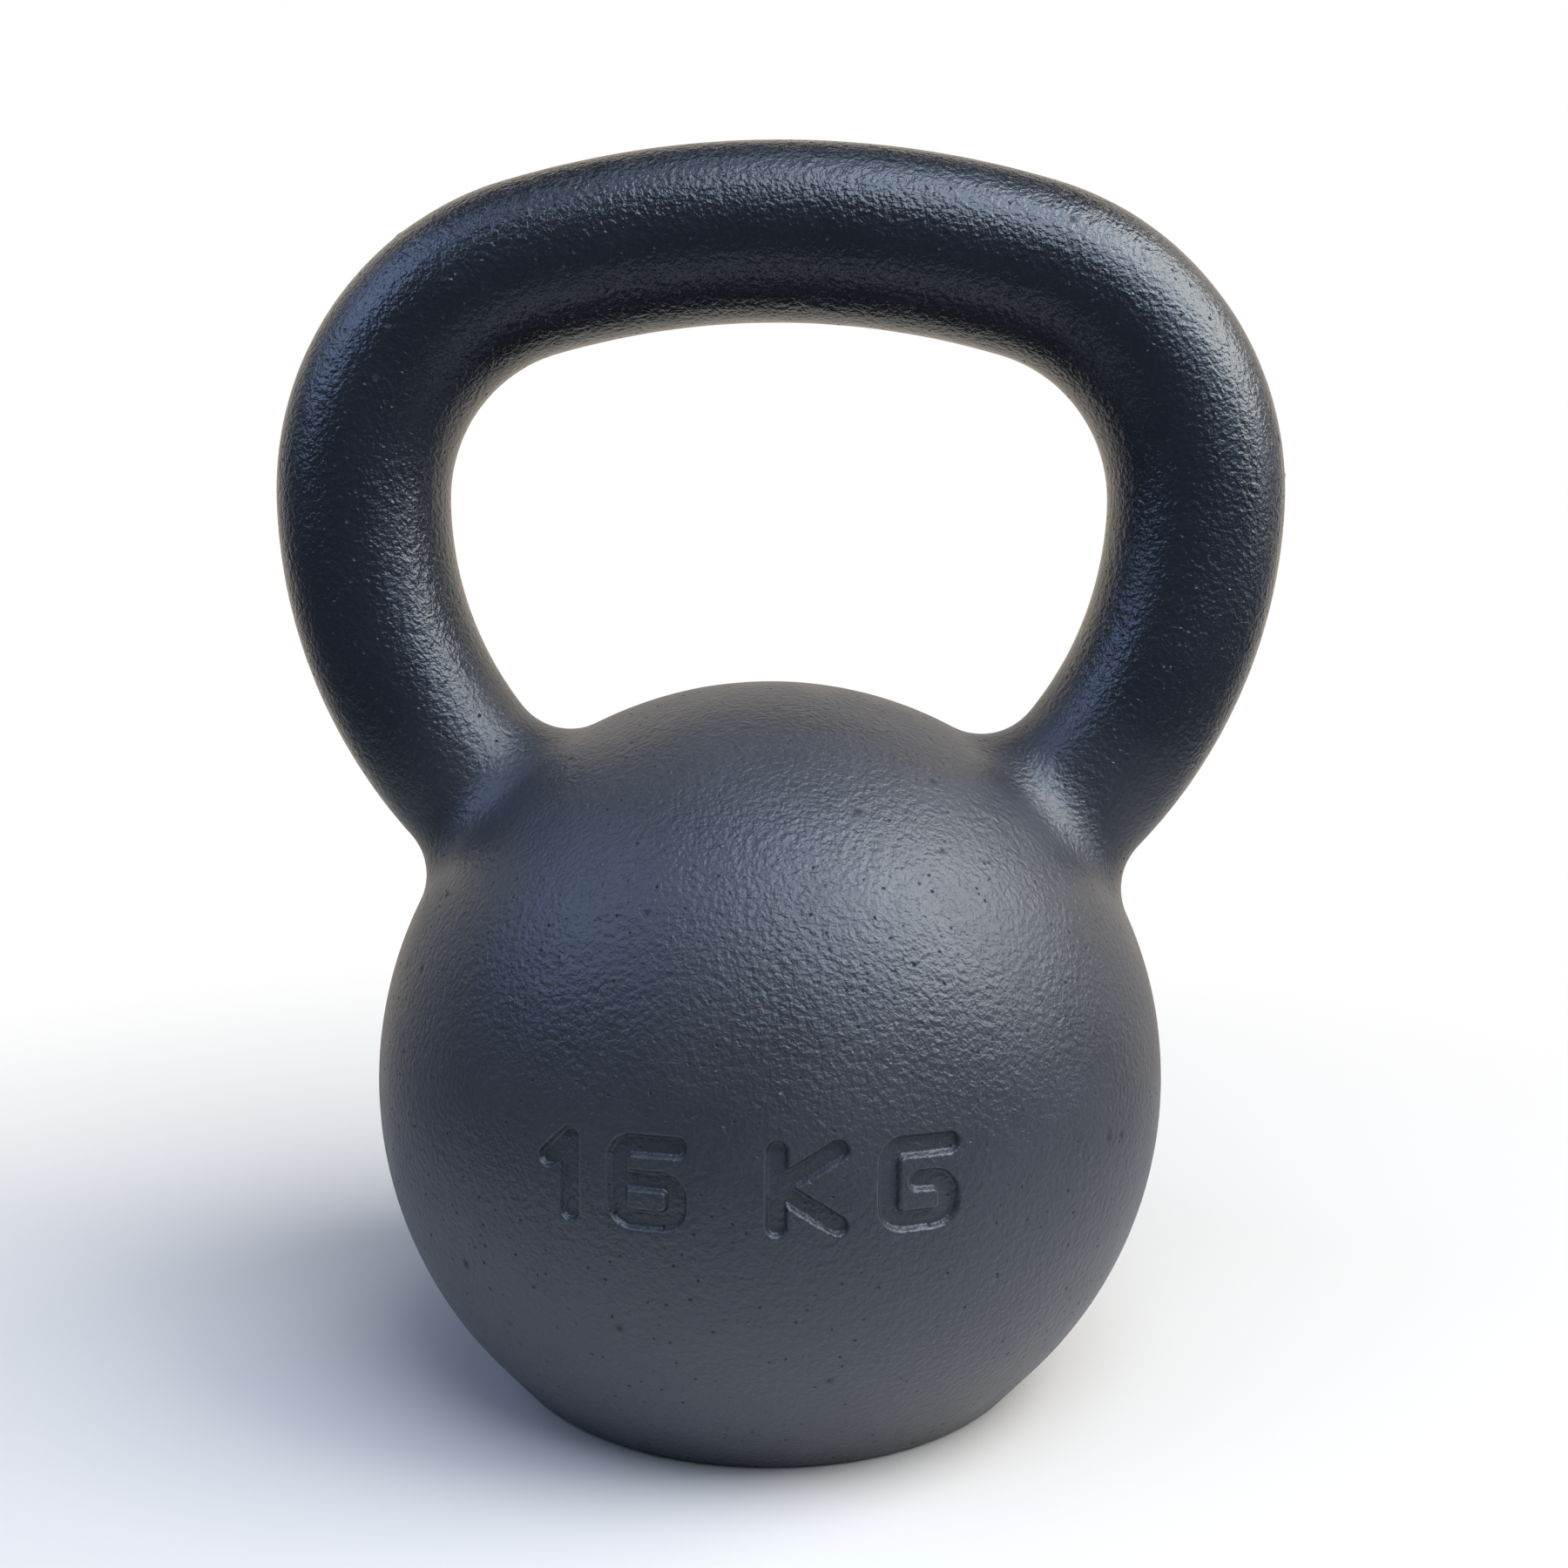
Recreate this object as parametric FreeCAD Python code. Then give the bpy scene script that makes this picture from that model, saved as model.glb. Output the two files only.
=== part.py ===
import FreeCAD, Part
import math
import os

# A 16 kg kettlebell: a solid grey iron casting, its base machined flat, under a baked powder coat.
# Frame: millimetres, origin at the centre of the base, +Z up, X along the grip, the marked side
# towards -Y. Every size is that of the finished, coated surface unless its comment says otherwise.

# Ball and foot.
ball_radius = 78.05
ball_height = 60.0       # ball's centre above the base
foot_height = 9.0        # above the base, where the ball gives way to a tangent cone
base_round = 4.2         # round between that cone and the base
base_facing = 0.35       # how much of that round is lost when the base is machined flat

# Handle: one round bar, bent in the XZ plane, running into the ball at both ends.
grip_diameter = 34.0
window_height = 70.0     # ball's top to the underside of the grip, for the hand
window_width = 130.0     # between the horns, where they stand furthest apart
crown_radius = 174.0     # the bar's centreline along the grip
shoulder_radius = 46.4   # the bar's centreline from the grip down to a horn
horn_radius = 83.4       # the bar's centreline as a horn curves in to the ball
root_fillet = 12.3       # blend between a horn and the ball

# Powder coat, all over but for the machined base.
coat_thickness = 0.25

# Weight mark, sunk into the front of the ball in strokes with round ends.
mark_height = 15.6
mark_rise = 0.8          # its middle above the ball's centre
mark_stroke = 3.2
mark_depth = 1.1
mark_corner = 2.6        # of a stroke's centreline
mark_waist = 6.6         # middle of the 6, K and G above their feet, between centrelines
one_width = 7.0
wide_width = 13.0        # of the 6, K and G
letter_gap = 5.0         # between neighbours, stroke to stroke
word_gap = 13.0          # between the number and its unit

grip_radius = grip_diameter / 2
half_span = window_width / 2 + grip_radius
grip_top = ball_height + ball_radius + window_height + grip_radius
up = FreeCAD.Vector(0, 0, 1)
across = FreeCAD.Vector(1, 0, 0)
backwards = FreeCAD.Vector(0, 1, 0)
origin = FreeCAD.Vector(0, 0, 0)
ball_centre = FreeCAD.Vector(0, 0, ball_height)


def at(x, z):
    """A point or step in the XZ plane."""
    return FreeCAD.Vector(x, 0, z)


def line(start, end):
    return Part.LineSegment(start, end).toShape()


def arc(start, middle, end):
    return Part.Arc(start, middle, end).toShape()


def ball(inset):
    """The ball with its conical foot and rounded base edge, turned about the Z axis."""
    radius = ball_radius - inset
    edge = base_round - inset
    edge_z = base_round - base_facing
    latitude = math.asin((ball_height - foot_height) / ball_radius)
    lean, drop = math.cos(latitude), math.sin(latitude)
    edge_x = (ball_radius - base_round - drop * (ball_height - edge_z)) / lean
    face_angle = math.asin(edge_z / edge)

    def on_edge(angle):
        return at(edge_x + edge * math.cos(angle), edge_z - edge * math.sin(angle))

    top = at(0, ball_height + radius)
    side = at(radius, ball_height)
    foot = at(radius * lean, ball_height - radius * drop)
    outline = [
        arc(top, side, foot),
        line(foot, on_edge(latitude)),
        arc(on_edge(latitude), on_edge((latitude + face_angle) / 2), on_edge(face_angle)),
        line(on_edge(face_angle), origin),
        line(origin, top),
    ]
    return Part.Face(Part.Wire(outline)).revolve(origin, up, 360)


def section(radius, place, heading):
    """The bar's round section, square to a heading that turns from +X down to -Z."""
    along = at(math.cos(heading), -math.sin(heading))
    return Part.Face(Part.Wire(Part.Circle(place, along, radius).toShape()))


def bend(radius, centre, path_radius, start, end):
    """A stretch of the bar bent about a centre, from one heading to another."""
    place = centre + at(path_radius * math.sin(start), path_radius * math.cos(start))
    return section(radius, place, start).revolve(centre, backwards, math.degrees(end - start))


def handle(inset):
    """Both sides and the grip between them. A horn's arc runs on in the ball to where it passes its centre."""
    radius = grip_radius - inset
    down = math.pi / 2
    reach = crown_radius - shoulder_radius
    turn = math.asin((half_span - shoulder_radius) / reach)
    crown_centre = at(0, grip_top - crown_radius)
    shoulder_centre = crown_centre + at(reach * math.sin(turn), reach * math.cos(turn))
    horn_centre = at(half_span - horn_radius, shoulder_centre.z)
    inward = ball_centre - horn_centre
    heading = down - math.atan2(inward.z, inward.x)
    grip = bend(radius, crown_centre, crown_radius, -turn, turn)
    side = bend(radius, shoulder_centre, shoulder_radius, turn, down).fuse(
        bend(radius, horn_centre, horn_radius, down, heading))
    return [side, side.mirror(origin, across), grip]


def blended(inset):
    """Ball and handle in one piece, with a rolled fillet round the root of each horn."""
    whole = ball(inset)
    for stretch in handle(inset):
        whole = whole.fuse(stretch).Solids[0]
    roots = []
    for edge in whole.Edges:
        sides = {type(face.Surface) for face in whole.ancestorsOfType(edge, Part.Face)}
        if sides == {Part.Sphere, Part.Toroid}:
            roots.append(edge)
    return whole.makeFillet(root_fillet + inset, roots).Solids[0]


def straight(start, end, pen):
    """A straight stroke of the mark, round at both ends. The pen is half the stroke's width."""
    along = (end - start).normalize() * pen
    side = along.cross(backwards)
    outline = [
        line(start + side, end + side),
        arc(end + side, end + along, end - side),
        line(end - side, start - side),
        arc(start - side, start - along, start + side),
    ]
    return Part.Face(Part.Wire(outline))


def corner(centre, first, last, pen):
    """The quarter turn between two straight strokes. First and last are directions from its centre."""
    middle = (first + last).normalize()
    inner, outer = mark_corner - pen, mark_corner + pen
    outline = [
        arc(centre + first * outer, centre + middle * outer, centre + last * outer),
        line(centre + last * outer, centre + last * inner),
        arc(centre + last * inner, centre + middle * inner, centre + first * inner),
        line(centre + first * inner, centre + first * outer),
    ]
    return Part.Face(Part.Wire(outline))


def traced(points, pen):
    """Strokes along a line of points, with a quarter turn at each point between its ends."""
    strokes = []
    place = points[0]
    for before, point, after in zip(points, points[1:], points[2:]):
        came = (point - before).normalize()
        goes = (after - point).normalize()
        centre = point + (goes - came) * mark_corner
        strokes.append(straight(place, point - came * mark_corner, pen))
        strokes.append(corner(centre, goes * -1, came, pen))
        place = point + goes * mark_corner
    strokes.append(straight(place, points[-1], pen))
    return strokes


def figure_one(wide, high, pen):
    return [
        straight(at(wide, 0), at(wide, high), pen),
        straight(at(0, high - wide), at(wide, high), pen),
    ]


def figure_six(wide, high, pen):
    points = [(wide, high), (0, high), (0, 0), (wide, 0), (wide, mark_waist), (0, mark_waist)]
    return traced([at(*point) for point in points], pen)


def letter_k(wide, high, pen):
    return [
        straight(at(0, 0), at(0, high), pen),
        straight(at(0, mark_waist), at(wide, high), pen),
        straight(at(0, mark_waist), at(wide, 0), pen),
    ]


def letter_g(wide, high, pen):
    points = [(wide, high), (0, high), (0, 0), (wide, 0), (wide, mark_waist), (wide / 2, mark_waist)]
    return traced([at(*point) for point in points], pen)


def mark(inset):
    """What the weight mark takes out of the front of the ball, with a floor that follows it."""
    pen = mark_stroke / 2 + inset
    high = mark_height - mark_stroke
    row = [
        (figure_one, one_width, letter_gap),
        (figure_six, wide_width, word_gap),
        (letter_k, wide_width, letter_gap),
        (letter_g, wide_width, 0),
    ]
    x = (mark_stroke - sum(width + gap for draw, width, gap in row)) / 2
    foot = ball_height + mark_rise - high / 2
    front = -ball_radius - mark_depth
    strokes = []
    for draw, width, gap in row:
        for stroke in draw(width - mark_stroke, high, pen):
            stroke.translate(FreeCAD.Vector(x, front, foot))
            strokes.append(stroke.extrude(backwards * -front))
        x += width + gap
    floor = Part.makeSphere(ball_radius - mark_depth - inset, ball_centre)
    return strokes[0].fuse(strokes[1:]).cut(floor)


def form(inset):
    """The whole kettlebell, taken in by inset everywhere but at the base."""
    return blended(inset).cut(mark(inset)).removeSplitter().Solids[0]


iron_casting = form(coat_thickness)
powder_coat = form(0).cut(iron_casting).Solids[0]

os.makedirs("parts", exist_ok=True)
for name, shape in (("iron_casting", iron_casting), ("powder_coat", powder_coat)):
    shape.exportStep(f"parts/{name}.step")
    print(name, len(shape.Solids), "solid", round(shape.Volume / 1000, 3), "cm3", shape.isValid())
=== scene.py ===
import math
import random

import bpy
import numpy as np
from bpy.props import FloatProperty, FloatVectorProperty, IntProperty, PointerProperty
from mathutils import Matrix, Vector


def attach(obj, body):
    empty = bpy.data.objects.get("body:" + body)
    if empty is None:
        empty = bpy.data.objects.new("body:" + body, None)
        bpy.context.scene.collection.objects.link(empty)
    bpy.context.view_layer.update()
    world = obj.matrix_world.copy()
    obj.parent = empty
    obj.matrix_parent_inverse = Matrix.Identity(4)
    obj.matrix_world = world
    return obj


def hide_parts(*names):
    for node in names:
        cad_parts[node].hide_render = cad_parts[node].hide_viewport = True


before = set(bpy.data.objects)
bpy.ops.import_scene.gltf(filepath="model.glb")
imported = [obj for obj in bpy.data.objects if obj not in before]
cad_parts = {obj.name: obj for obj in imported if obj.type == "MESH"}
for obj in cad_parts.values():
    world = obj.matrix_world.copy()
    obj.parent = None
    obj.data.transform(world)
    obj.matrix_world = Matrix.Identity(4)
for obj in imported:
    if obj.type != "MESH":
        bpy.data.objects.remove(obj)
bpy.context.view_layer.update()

bl_info = {
    "name": "Powder-coated kettlebell",
    "version": (1, 0, 0),
    "blender": (4, 5, 0),
    "location": "3D Viewport > Sidebar > Kettlebell",
    "description": "Dresses the frame of a 16 kg kettlebell and sets it on a plain stage",
    "category": "Object",
}

# Frame: metres, origin at the centre of the base, +Z up, X along the grip, the marked side towards -Y.
BODY = "root"
COAT_NODE = "powder_coat"
IRON_NODE = "iron_casting"

# Fineness of the skin.
FOOT_RINGS = 8  # down the round between the foot's cone and the base
ROLL_STEPS = 12  # that find the blend between a horn and the ball
SKIN_SEGMENTS = (128, 48, (14, 16, 30))  # round the ball, round the bar, and along each of its arcs
ROOM_SEGMENTS = (96, 32, (8, 10, 18))  # the same for the iron's room, which is never seen
MARK_CUTS = ((0.0026, 1), (0.0008, 3))  # margin round the strokes, and cuts across each face in it
SCAR_CUTS = (3.2, 2.4)  # radii round a scar within which faces are cut, once for each
SCAR_MARGIN = 0.0005  # and this much further out
SCAR_FACE = 1.6e-7  # area of a face that needs no more cuts for a scar
CREASE = math.radians(50)  # edges sharper than this stay sharp

# Behind the mark the iron's room stands back, over a stretch of half this width and half this height.
STAND_BACK = (0.041, 0.015)
BLOCK = 0.4  # side of the cube that cuts off what lies below the base

# The handle begins this far out from the ball, and is all handle this much further out.
HANDLE_START, HANDLE_BLEND = 0.004, 0.026

LAMP_AIM = Vector((0, 0, 0.11))  # near the middle of the object


def linear(code):
    """A colour written as sRGB hex, in linear light."""
    parts = [int(code[i:i + 2], 16) / 255 for i in (1, 3, 5)]
    return [c / 12.92 if c <= 0.04045 else ((c + 0.055) / 1.055) ** 2.4 for c in parts]


def heading(around, up):
    """The direction so many radians round from the front towards +X, and so many up from level."""
    return Vector((math.sin(around) * math.cos(up), -math.cos(around) * math.cos(up), math.sin(up)))


def smoothstep(share):
    return share * share * (3 - 2 * share)


def length(name, description, default):
    return FloatProperty(name=name, description=description, default=default, unit="LENGTH", precision=5)


def colour(name, description, code):
    return FloatVectorProperty(name=name, description=description, default=linear(code), subtype="COLOR",
                               size=3, min=0.0, max=1.0)


def watts(name, description, default):
    return FloatProperty(name=name, description=description, default=default, subtype="POWER", min=0.0)


def factor(name, description, default):
    return FloatProperty(name=name, description=description, default=default, subtype="FACTOR",
                         min=0.0, max=1.0)


class KettlebellForm(bpy.types.PropertyGroup):
    """Sizes of the coated casting, the same as the frame's."""
    ball_radius: length("Ball Radius", "Radius of the coated ball", 0.07805)
    ball_height: length("Ball Height", "Height of the ball's centre above the base", 0.0600)
    foot_height: length("Foot Height", "Height at which the ball gives way to the foot's cone", 0.0090)
    base_round: length("Base Round", "Radius of the round between the cone and the base", 0.0042)
    base_facing: length("Base Facing", "Depth turned off the foot when the base is faced flat", 0.00035)
    grip_diameter: length("Grip Diameter", "Diameter of the coated bar", 0.0340)
    window_height: length("Window Height", "From the ball's top to the underside of the grip", 0.0700)
    window_width: length("Window Width", "Between the horns where they stand furthest apart", 0.1300)
    crown_radius: length("Crown Radius", "Radius of the grip's centreline", 0.1740)
    shoulder_radius: length("Shoulder Radius", "Radius of the centreline from grip to horn", 0.0464)
    horn_radius: length("Horn Radius", "Radius of the centreline as a horn curves in to the ball", 0.0834)
    root_fillet: length("Root Fillet", "Radius of the blend between a horn and the ball", 0.0123)
    coat_thickness: length("Coat Thickness", "Thickness of the powder coat", 0.00025)


class KettlebellMark(bpy.types.PropertyGroup):
    """Sizes of the weight mark sunk in the front of the ball."""
    height: length("Height", "Height of the characters over their strokes", 0.0156)
    rise: length("Rise", "Height of the mark's middle above the ball's centre", 0.0008)
    stroke: length("Stroke", "Width of a stroke", 0.0032)
    depth: length("Depth", "Depth of the strokes' floor below the ball", 0.0011)
    corner: length("Corner", "Radius of a stroke's centreline at a corner", 0.0026)
    waist: length("Waist", "Height of the middle stroke above the feet", 0.0066)
    one_width: length("One Width", "Width of the figure 1", 0.0070)
    wide_width: length("Wide Width", "Width of the other characters", 0.0130)
    letter_gap: length("Letter Gap", "Gap between neighbouring characters", 0.0050)
    word_gap: length("Word Gap", "Gap between the number and its unit", 0.0130)
    softness: length("Softness", "Half the width over which the coat rounds a stroke's edge", 0.0004)


class KettlebellSkin(bpy.types.PropertyGroup):
    """How finely the skin is drawn, and how far casting and coat leave it from the true form."""
    mesh_step: length("Mesh Step", "Spacing of the skin's vertices", 0.00175)
    set_back: length("Set Back", "Mean depth of the skin below the frame's surface", 0.00011)
    wave_spacing: length("Wave Spacing", "Spacing of the sand casting's slow waves", 0.0240)
    wave_height: length("Wave Height", "Height of those waves", 0.00009)
    ripple_spacing: length("Ripple Spacing", "Spacing of the ripples that the coat leaves", 0.0060)
    ripple_height: length("Ripple Height", "Height of those ripples", 0.00004)
    scar_count: IntProperty(name="Scar Count", description="Small pits and nibs scattered over the casting",
                            default=46, min=0)
    scar_seed: IntProperty(name="Scar Seed", description="Seed of the scattered pits and nibs", default=16)
    pit_depth: length("Pit Depth", "Depth of a pit, which must leave some coat over the iron", 0.00005)
    nib_height: length("Nib Height", "Height of a nib", 0.00018)


class KettlebellFinish(bpy.types.PropertyGroup):
    """Colours and textures of the two finishes."""
    # Ball and handle are the same coat: the ball's lighter colour is painted light, the handle's darker
    # colour painted shade.
    ball_colour: colour("Ball Colour", "Powder coat on the ball, lighter by painted light", "#34363d")
    handle_colour: colour("Handle Colour", "Powder coat on the handle, darker by painted shade", "#1b1f27")
    ball_roughness: factor("Ball Roughness", "Roughness of the coat on the ball", 0.43)
    handle_roughness: factor("Handle Roughness", "Roughness of the coat on the handle", 0.25)
    peel_spacing: length("Peel Spacing", "Spacing of the coat's orange peel", 0.0011)
    peel_height: length("Peel Height", "Height of the coat's orange peel", 0.00034)
    pore_spacing: length("Pore Spacing", "Spacing of the cells that may hold a pinhole", 0.0030)
    hole_depth: length("Hole Depth", "Depth of a pinhole", 0.00012)
    hole_colour: colour("Hole Colour", "Shade inside pinholes and pits", "#141416")
    nib_spacing: length("Nib Spacing", "Spacing of the cells that may hold a nib", 0.0040)
    grain_height: length("Grain Height", "Height of such a nib, over a grain under the coat", 0.00014)
    iron_colour: colour("Iron Colour", "Freshly faced grey iron", "#8b8a86")
    iron_roughness: factor("Iron Roughness", "Roughness of the faced base", 0.38)
    tool_spacing: length("Tool Spacing", "Feed marks of the facing tool, drawn coarser than real", 0.0012)


class KettlebellStage(bpy.types.PropertyGroup):
    """Floor, lamps and camera."""
    floor_colour: colour("Floor Colour", "Plain pale floor, under the object and behind it", "#ebe9e5")
    front_colour: colour("Front Colour", "The floor's grey in front of the camera's view", "#8c8b88")
    # These two colours and the side glow make a painted reflection: the paper glows in them for mirror rays
    # only.
    warm_colour: colour("Warm Colour", "The paper behind the object, as the coat mirrors it", "#fff1de")
    cool_colour: colour("Cool Colour", "The paper in front and at the sides, mirrored likewise", "#d0e4ff")
    side_glow: factor("Side Glow", "How bright the coat mirrors that paper, next to white behind", 0.19)
    shadow_start: length("Shadow Start", "From the axis to where the floor begins to turn white", 0.03)
    shadow_end: length("Shadow End", "From the axis to where the floor is white and holds no shadow", 0.42)
    front_start: length("Front Start", "How far in front of the axis the floor begins to darken", 0.07)
    front_end: length("Front End", "How far in front of the axis it has its front grey", 0.35)
    floor_radius: length("Floor Radius", "How far from the object the floor turns up into a wall", 2.6)
    wall_height: length("Wall Height", "Height of that wall", 3.0)
    wall_bend: length("Wall Bend", "Width of the bend between floor and wall", 0.91)
    key_power: watts("Key Power", "Power of the main soft lamp, high on the right", 9.2)
    front_power: watts("Front Power", "Power of the wide lamp high over the front", 5.7)
    top_power: watts("Top Power", "Power of the widest lamp, overhead", 2.9)
    fill_power: watts("Fill Power", "Power of the cool lamp on the left", 2.9)
    low_power: watts("Low Power", "Power shared by the two small lamps low on the right", 2.1)
    ambient: FloatProperty(name="Ambient", description="Strength of the world's plain diffuse light",
                           default=0.02, min=0.0)
    camera_distance: length("Camera Distance", "From the ball's centre to the camera", 0.35255)
    camera_focal: FloatProperty(name="Focal Length", description="Focal length on a 36 mm sensor",
                                default=39.056, subtype="DISTANCE_CAMERA")
    camera_side: FloatProperty(name="Camera Side", description="How far round from the front it stands",
                               default=0.0515, subtype="ANGLE")
    camera_lift: FloatProperty(name="Camera Lift", description="How far above the ball's centre it stands",
                               default=0.2702, subtype="ANGLE")
    aim_up: FloatProperty(name="Aim Up", description="Turn of its aim up from the ball's centre",
                          default=0.1626, subtype="ANGLE")
    aim_side: FloatProperty(name="Aim Side", description="Turn of its aim to the side",
                            default=-0.0065, subtype="ANGLE")
    roll: FloatProperty(name="Roll", description="Turn about its line of sight", default=0.0088,
                        subtype="ANGLE")


# ---------------------------------------------------------------------------------------------
# The casting's true form, as distances from its surfaces
# ---------------------------------------------------------------------------------------------

def unit(rows):
    return rows / np.maximum(np.linalg.norm(rows, axis=1), 1e-12)[:, None]


def foot_section(form):
    """The foot in section: the cone's latitude, and the centre of the round at its edge, from the axis."""
    latitude = math.asin((form.ball_height - form.foot_height) / form.ball_radius)
    edge_z = form.base_round - form.base_facing
    drop = math.sin(latitude) * (form.ball_height - edge_z)
    edge_x = (form.ball_radius - form.base_round - drop) / math.cos(latitude)
    return latitude, edge_x, edge_z


def from_ball(form, points):
    """Each point's distance from the ball and its foot, and the direction that takes it away from them."""
    latitude, edge_x, edge_z = foot_section(form)
    lean = np.array([math.cos(latitude), -math.sin(latitude)])
    out = np.hypot(points[:, 0], points[:, 1])
    around = points[:, :2] / np.maximum(out, 1e-12)[:, None]
    flat = np.stack([out, points[:, 2] - form.ball_height], axis=1)
    edge = np.stack([out - edge_x, points[:, 2] - edge_z], axis=1)
    on_cone = flat[:, 1] < -out * math.tan(latitude)
    on_round = on_cone & (edge[:, 1] < -edge[:, 0] * math.tan(latitude))
    under = on_round & (edge[:, 0] < 0)
    direction = unit(flat)
    distance = np.linalg.norm(flat, axis=1) - form.ball_radius
    direction[on_cone] = lean
    distance[on_cone] = (flat @ lean)[on_cone] - form.ball_radius
    direction[on_round] = unit(edge)[on_round]
    distance[on_round] = np.linalg.norm(edge, axis=1)[on_round] - form.base_round
    direction[under] = (0, -1)
    distance[under] = -edge[under, 1] - form.base_round
    return distance, np.column_stack([around * direction[:, :1], direction[:, 1]])


def bar_path(form):
    """The bar's centreline on the +X side, top to root: centre in XZ, radius, and its first and last angle
    from straight up, for each of its arcs."""
    grip_radius = form.grip_diameter / 2
    span = form.window_width / 2 + grip_radius
    crown_z = form.ball_height + form.ball_radius + form.window_height + grip_radius - form.crown_radius
    reach = form.crown_radius - form.shoulder_radius
    turn = math.asin((span - form.shoulder_radius) / reach)
    shoulder = (reach * math.sin(turn), crown_z + reach * math.cos(turn))
    horn = (span - form.horn_radius, shoulder[1])
    last = math.pi - math.atan2(-horn[0], horn[1] - form.ball_height)
    return [((0.0, crown_z), form.crown_radius, 0.0, turn),
            (shoulder, form.shoulder_radius, turn, math.pi / 2),
            (horn, form.horn_radius, math.pi / 2, last)]


def from_bar(form, points):
    """Each point's distance from the bar, and the direction that takes it away from the bar."""
    side = np.where(points[:, 0] < 0, -1.0, 1.0)
    mirrored = points * np.column_stack([side, np.ones_like(side), np.ones_like(side)])
    best = np.full(len(points), np.inf)
    away = np.zeros_like(points)
    for centre, radius, first, last in bar_path(form):
        x, z = mirrored[:, 0] - centre[0], mirrored[:, 2] - centre[1]
        angle = np.arctan2(x, z)
        angle = np.clip(np.where(angle < -math.pi / 2, angle + 2 * math.pi, angle), first, last)
        offset = np.column_stack([x - radius * np.sin(angle), mirrored[:, 1], z - radius * np.cos(angle)])
        distance = np.linalg.norm(offset, axis=1)
        nearer = distance < best
        best[nearer] = distance[nearer]
        away[nearer] = offset[nearer]
    away[:, 0] *= side
    return best - form.grip_diameter / 2, unit(away)


def seated(form, points):
    """Each point's nearest place on the true form, and the form's outward direction there."""
    to_ball, off_ball = from_ball(form, points)
    to_bar, off_bar = from_bar(form, points)
    ball_nearer = to_ball < to_bar
    direction = np.where(ball_nearer[:, None], off_ball, off_bar)
    place = points - direction * np.minimum(to_ball, to_bar)[:, None]
    # At a root the skin lies on the ball that rolls round it, touching ball and bar. The rolling ball's
    # centre is found step by step.
    radius = form.root_fillet
    near = np.flatnonzero((to_ball < radius * 1.2) & (to_bar < radius * 1.2))
    point = points[near]
    centre = point.copy()
    for _ in range(ROLL_STEPS):
        to_ball, off_ball = from_ball(form, centre)
        to_bar, off_bar = from_bar(form, centre)
        between = (off_ball * off_bar).sum(axis=1)
        spread = np.maximum(1 - between ** 2, 0.02)  # kept off 0 where the two directions agree
        ball_gap, bar_gap = radius - to_ball, radius - to_bar
        centre = centre + off_ball * ((ball_gap - between * bar_gap) / spread)[:, None]
        centre = centre + off_bar * ((bar_gap - between * ball_gap) / spread)[:, None]
        along = unit(np.cross(off_ball, off_bar))
        centre = centre + along * ((point - centre) * along).sum(axis=1)[:, None]
    back = centre - point
    ball_part, bar_part = (back * off_ball).sum(axis=1), (back * off_bar).sum(axis=1)
    rolled = (ball_part > between * bar_part) & (bar_part > between * ball_part)
    rolled &= np.linalg.norm(centre - point, axis=1) < radius * 2
    inward = unit(back)
    place[near[rolled]] = (centre - inward * radius)[rolled]
    direction[near[rolled]] = inward[rolled]
    return place, direction


# ---------------------------------------------------------------------------------------------
# Modelling helpers
# ---------------------------------------------------------------------------------------------

def pick_none():
    if bpy.context.object and bpy.context.object.mode != "OBJECT":
        bpy.ops.object.mode_set(mode="OBJECT")
    bpy.ops.object.select_all(action="DESELECT")


def pick(*objects):
    pick_none()
    for item in objects:
        item.select_set(True)
    bpy.context.view_layer.objects.active = objects[0]


def place_in_mesh():
    """The active object's place goes into its mesh, so that it sits at the origin unturned."""
    bpy.ops.object.transform_apply(location=True, rotation=True, scale=True)


def apply_modifiers(item):
    pick(item)
    for modifier in list(item.modifiers):
        bpy.ops.object.modifier_apply(modifier=modifier.name)


def coordinates(item):
    flat = np.empty(len(item.data.vertices) * 3)
    item.data.vertices.foreach_get("co", flat)
    return flat.reshape(-1, 3)


def set_coordinates(item, points):
    item.data.vertices.foreach_set("co", points.ravel())
    item.data.update()


def face_centres(item):
    flat = np.empty(len(item.data.polygons) * 3)
    item.data.polygons.foreach_get("center", flat)
    return flat.reshape(-1, 3)


def closed(item):
    """Whether every edge of the mesh has two faces."""
    edges = np.empty(len(item.data.loops), dtype=np.int32)
    item.data.loops.foreach_get("edge_index", edges)
    return bool(np.all(np.bincount(edges, minlength=len(item.data.edges)) == 2))


def paint(item, name, values):
    """Keeps one value for each vertex, for the material to read."""
    attribute = item.data.attributes.new(name, "FLOAT", "POINT")
    attribute.data.foreach_set("value", values)


def split_faces(item, chosen, cuts):
    """Subdivides the chosen faces."""
    pick(item)
    bpy.ops.object.mode_set(mode="EDIT")
    bpy.ops.mesh.select_mode(type="FACE")
    bpy.ops.mesh.select_all(action="DESELECT")
    bpy.ops.object.mode_set(mode="OBJECT")
    item.data.polygons.foreach_set("select", chosen)
    bpy.ops.object.mode_set(mode="EDIT")
    bpy.ops.mesh.subdivide(number_cuts=cuts)
    bpy.ops.object.mode_set(mode="OBJECT")


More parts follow.
